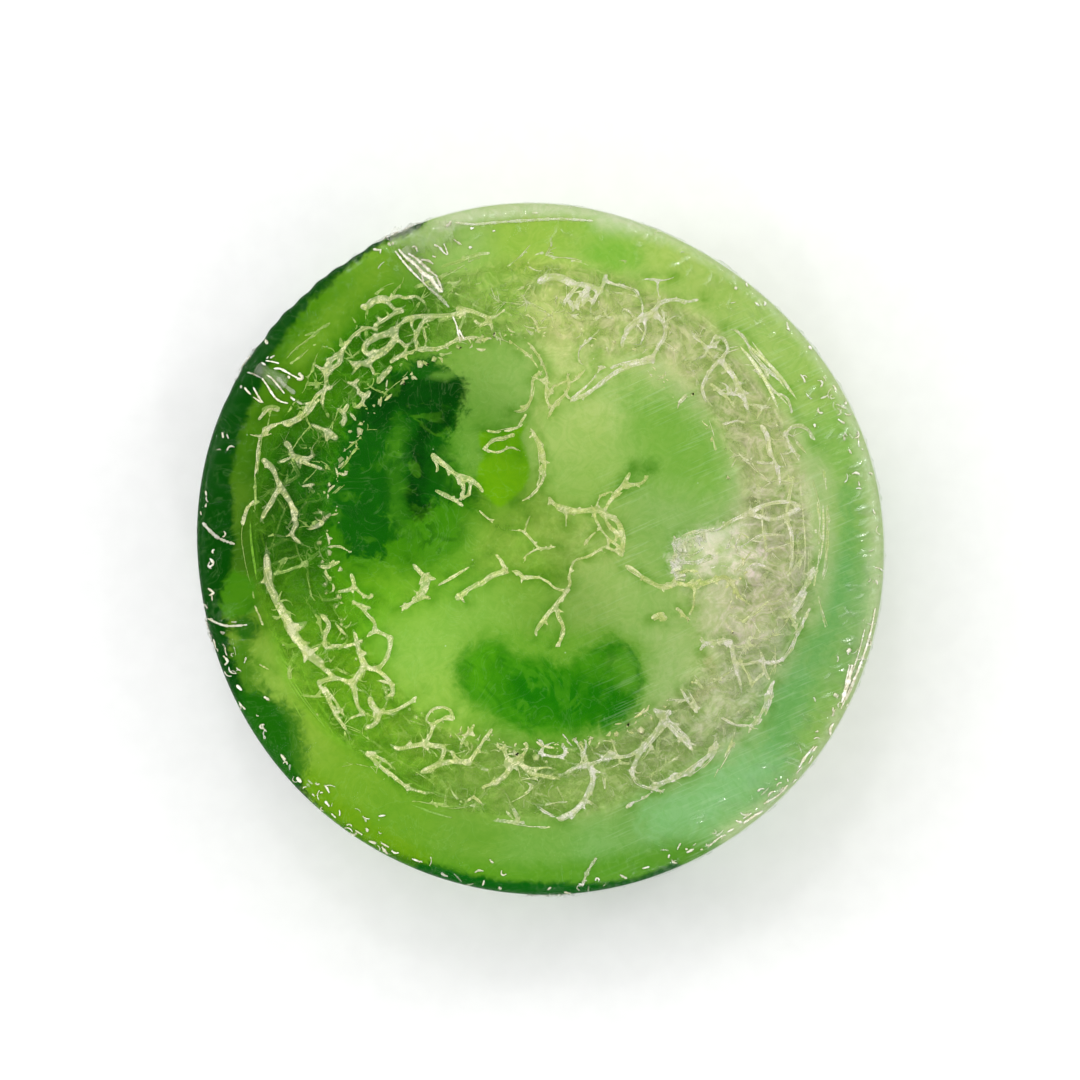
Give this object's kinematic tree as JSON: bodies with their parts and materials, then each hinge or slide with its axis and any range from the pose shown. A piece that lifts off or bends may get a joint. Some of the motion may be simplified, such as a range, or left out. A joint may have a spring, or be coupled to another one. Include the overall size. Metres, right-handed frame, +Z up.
{
  "type": "shrink-wrapped loofah soap puck",
  "caption": "Round flat slice of green swirled soap cast round a loofah slice, closed in clear shrink film with a welded strip round its rim.",
  "frame": {"origin": "centre of the resting face, on the outside of the film", "axes": "+Z up out of the top face; +X to the right and +Y away when the top face is seen from above with its pale collar's dark rim at the left"},
  "size_m": [0.079, 0.079, 0.0252],
  "materials": {
    "shrink_film": "clear glossy shrink film",
    "sealed_film": "clear glossy film, doubled and welded, so whiter",
    "pale_soap": "translucent pale green soap, satin cut face",
    "mid_green_soap": "translucent mid green soap, satin cut face",
    "dark_green_soap": "deep green soap, satin cut face",
    "yellow_green_soap": "yellow-green soap, satin cut face",
    "clear_soap": "cloudy colourless soap, satin cut face",
    "loofah_fibre": "dried plant fibre, soaked in soap"
  },
  "bodies": {
    "root": {"film_top_sheet": "shrink_film", "film_bottom_sheet": "shrink_film", "heat_seal_strip": "sealed_film", "film_corner_gathers": "sealed_film", "collar_soap": "pale_soap", "collar_swirl_right": "mid_green_soap", "rim_swirl_left": "dark_green_soap", "rim_swirl_lower": "dark_green_soap", "wall_soap_clear": "clear_soap", "wall_soap_green": "yellow_green_soap", "chamber_soap_left": "pale_soap", "chamber_swirl_left": "dark_green_soap", "chamber_soap_right": "pale_soap", "chamber_swirl_right": "mid_green_soap", "chamber_soap_lower": "pale_soap", "chamber_swirl_lower": "dark_green_soap", "core_soap": "mid_green_soap", "core_lump": "yellow_green_soap", "loofah_outer_skin": "loofah_fibre", "loofah_wall_net": "loofah_fibre", "loofah_inner_lining": "loofah_fibre", "loofah_septum_upper": "loofah_fibre", "loofah_septum_right": "loofah_fibre", "loofah_septum_left": "loofah_fibre", "loofah_core_strands": "loofah_fibre"}
  },
  "joints": []
}
